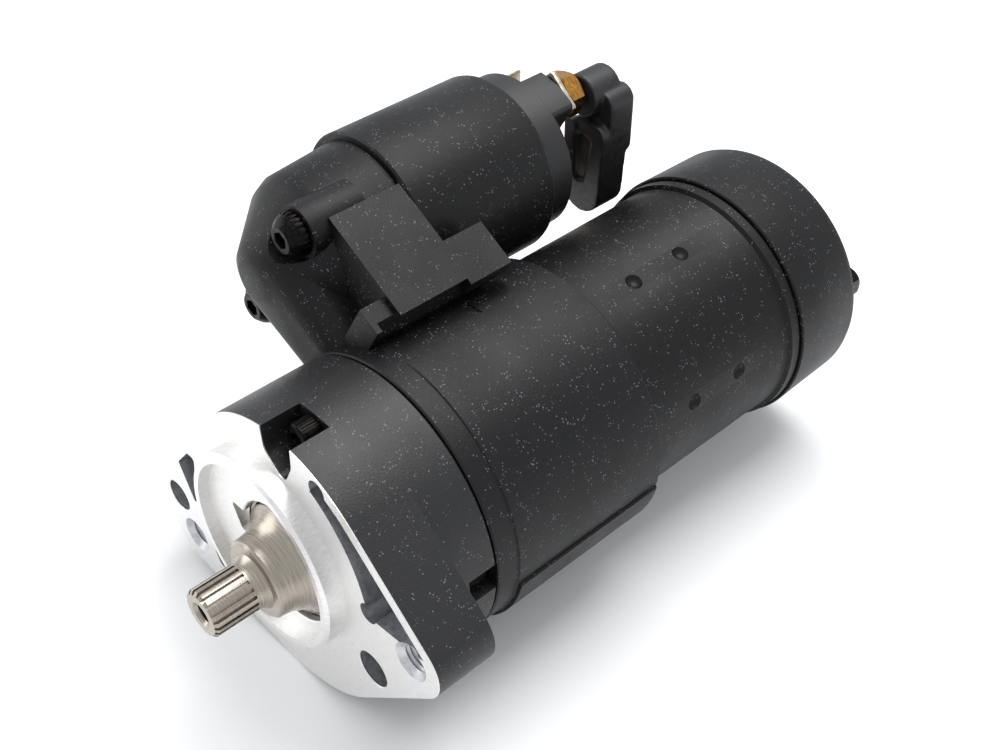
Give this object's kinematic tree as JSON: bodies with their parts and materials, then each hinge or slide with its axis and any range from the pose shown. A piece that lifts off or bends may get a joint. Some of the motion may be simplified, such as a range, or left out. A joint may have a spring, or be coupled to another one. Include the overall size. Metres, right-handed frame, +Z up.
{
  "type": "starter motor",
  "caption": "Black planetary-gear starter motor with a solenoid beside it, a bare machined mounting flange and a short splined output shaft that slides out when the solenoid pulls.",
  "frame": {"origin": "where the motor axis meets the plane of the flange face", "axes": "+Y along the motor from flange to end cap, +Z up with the solenoid above, -Y out of the flange face"},
  "size_m": [0.1354, 0.2212, 0.1194],
  "materials": {
    "black_paint": "matt textured black over cast aluminium and steel; the flange face is machined bare",
    "bare_aluminium": "machined",
    "dark_steel": "black oxide",
    "bright_steel": "ground, warm grey",
    "black_plastic": "moulded",
    "black_rubber": "satin",
    "brass": "bare",
    "copper": "bare copper",
    "nickel": "nickel plated, dull",
    "magnet_grey": "sintered",
    "graphite": "pressed graphite and copper"
  },
  "bodies": {
    "housing": {"front_housing": "black_paint", "gear_housing": "black_paint", "motor_yoke": "black_paint", "end_cap": "black_paint", "solenoid_can": "black_paint", "centre_plate": "bare_aluminium", "through_bolt_1": "dark_steel", "through_bolt_2": "dark_steel", "solenoid_screw_1": "dark_steel", "solenoid_screw_2": "dark_steel", "housing_screw": "dark_steel", "ring_gear": "dark_steel", "solenoid_core": "dark_steel", "output_bearing": "bright_steel", "front_bearing": "bright_steel", "rear_bearing": "bright_steel", "lever_pin": "bright_steel", "shaft_seal": "black_rubber", "rubber_boot": "black_rubber", "coil_bobbin": "black_plastic", "terminal_cap": "black_plastic", "brush_holder": "black_plastic", "battery_stud": "brass", "battery_nut": "brass", "motor_nut": "brass", "coil_winding": "copper", "motor_stud": "copper", "motor_lead": "copper", "battery_plate": "nickel", "spade_terminal": "nickel", "magnet_1": "magnet_grey", "magnet_2": "magnet_grey", "magnet_3": "magnet_grey", "magnet_4": "magnet_grey", "magnet_5": "magnet_grey", "magnet_6": "magnet_grey", "brush_1": "graphite", "brush_2": "graphite", "brush_3": "graphite", "brush_4": "graphite", "plunger_spring": "bright_steel"},
    "armature": {"armature_shaft": "bright_steel", "armature_core": "dark_steel", "armature_winding": "copper", "commutator": "copper"},
    "carrier": {"planet_carrier": "bright_steel", "planet_pin_1": "dark_steel", "planet_pin_2": "dark_steel", "planet_pin_3": "dark_steel"},
    "planet_1": {"planet_gear_1": "bright_steel"},
    "planet_2": {"planet_gear_2": "bright_steel"},
    "planet_3": {"planet_gear_3": "bright_steel"},
    "clutch": {"clutch_shell": "dark_steel", "shift_collar": "black_plastic"},
    "output": {"output_shaft": "bright_steel"},
    "lever": {"shift_lever": "dark_steel"},
    "plunger": {"plunger": "bright_steel"},
    "contact": {"contact_rod": "brass", "contact_disc": "copper"}
  },
  "joints": [
    {"name": "armature_spin", "type": "hinge", "parent": "housing", "child": "armature", "pos_m": [0, 0.12, 0], "axis": [0, -1, 0], "continuous": true},
    {"name": "carrier_spin", "type": "hinge", "parent": "housing", "child": "carrier", "pos_m": [0, 0.062, 0], "axis": [0, -1, 0], "continuous": true},
    {"name": "planet_1_spin", "type": "hinge", "parent": "carrier", "child": "planet_1", "pos_m": [0, 0.0703, 0.0162], "axis": [0, -1, 0], "continuous": true},
    {"name": "planet_2_spin", "type": "hinge", "parent": "carrier", "child": "planet_2", "pos_m": [-0.01403, 0.0703, -0.0081], "axis": [0, -1, 0], "continuous": true},
    {"name": "planet_3_spin", "type": "hinge", "parent": "carrier", "child": "planet_3", "pos_m": [0.01403, 0.0703, -0.0081], "axis": [0, -1, 0], "continuous": true},
    {"name": "plunger_slide", "type": "slide", "parent": "housing", "child": "plunger", "axis": [0, 1, 0], "range_m": [0, 0.009], "stiffness_N_per_m": 900, "springref_m": -0.004, "deforming": ["plunger_spring"]},
    {"name": "lever_pivot", "type": "hinge", "parent": "housing", "child": "lever", "pos_m": [-0.02713, 0.048, 0.02367], "axis": [-0.6575, 0, -0.7535], "range_deg": [0, 16.22]},
    {"name": "clutch_slide", "type": "slide", "parent": "carrier", "child": "clutch", "axis": [0, -1, 0], "range_m": [0, 0.01025]},
    {"name": "output_freewheel", "type": "hinge", "parent": "clutch", "child": "output", "pos_m": [0, 0, 0], "axis": [0, -1, 0], "continuous": true},
    {"name": "contact_slide", "type": "slide", "parent": "housing", "child": "contact", "axis": [0, 1, 0], "range_m": [0, 0.00227]}
  ],
  "couplings": [
    {"joint": "carrier_spin", "follows": "armature_spin", "ratio": 0.22222},
    {"joint": "planet_1_spin", "follows": "armature_spin", "ratio": -0.62222},
    {"joint": "planet_2_spin", "follows": "armature_spin", "ratio": -0.62222},
    {"joint": "planet_3_spin", "follows": "armature_spin", "ratio": -0.62222},
    {"joint": "lever_pivot", "follows": "plunger_slide", "rad_per_m": 31.351},
    {"joint": "clutch_slide", "follows": "plunger_slide", "ratio": 1.1362},
    {"joint": "contact_slide", "follows": "plunger_slide", "ratio": 0.25}
  ]
}
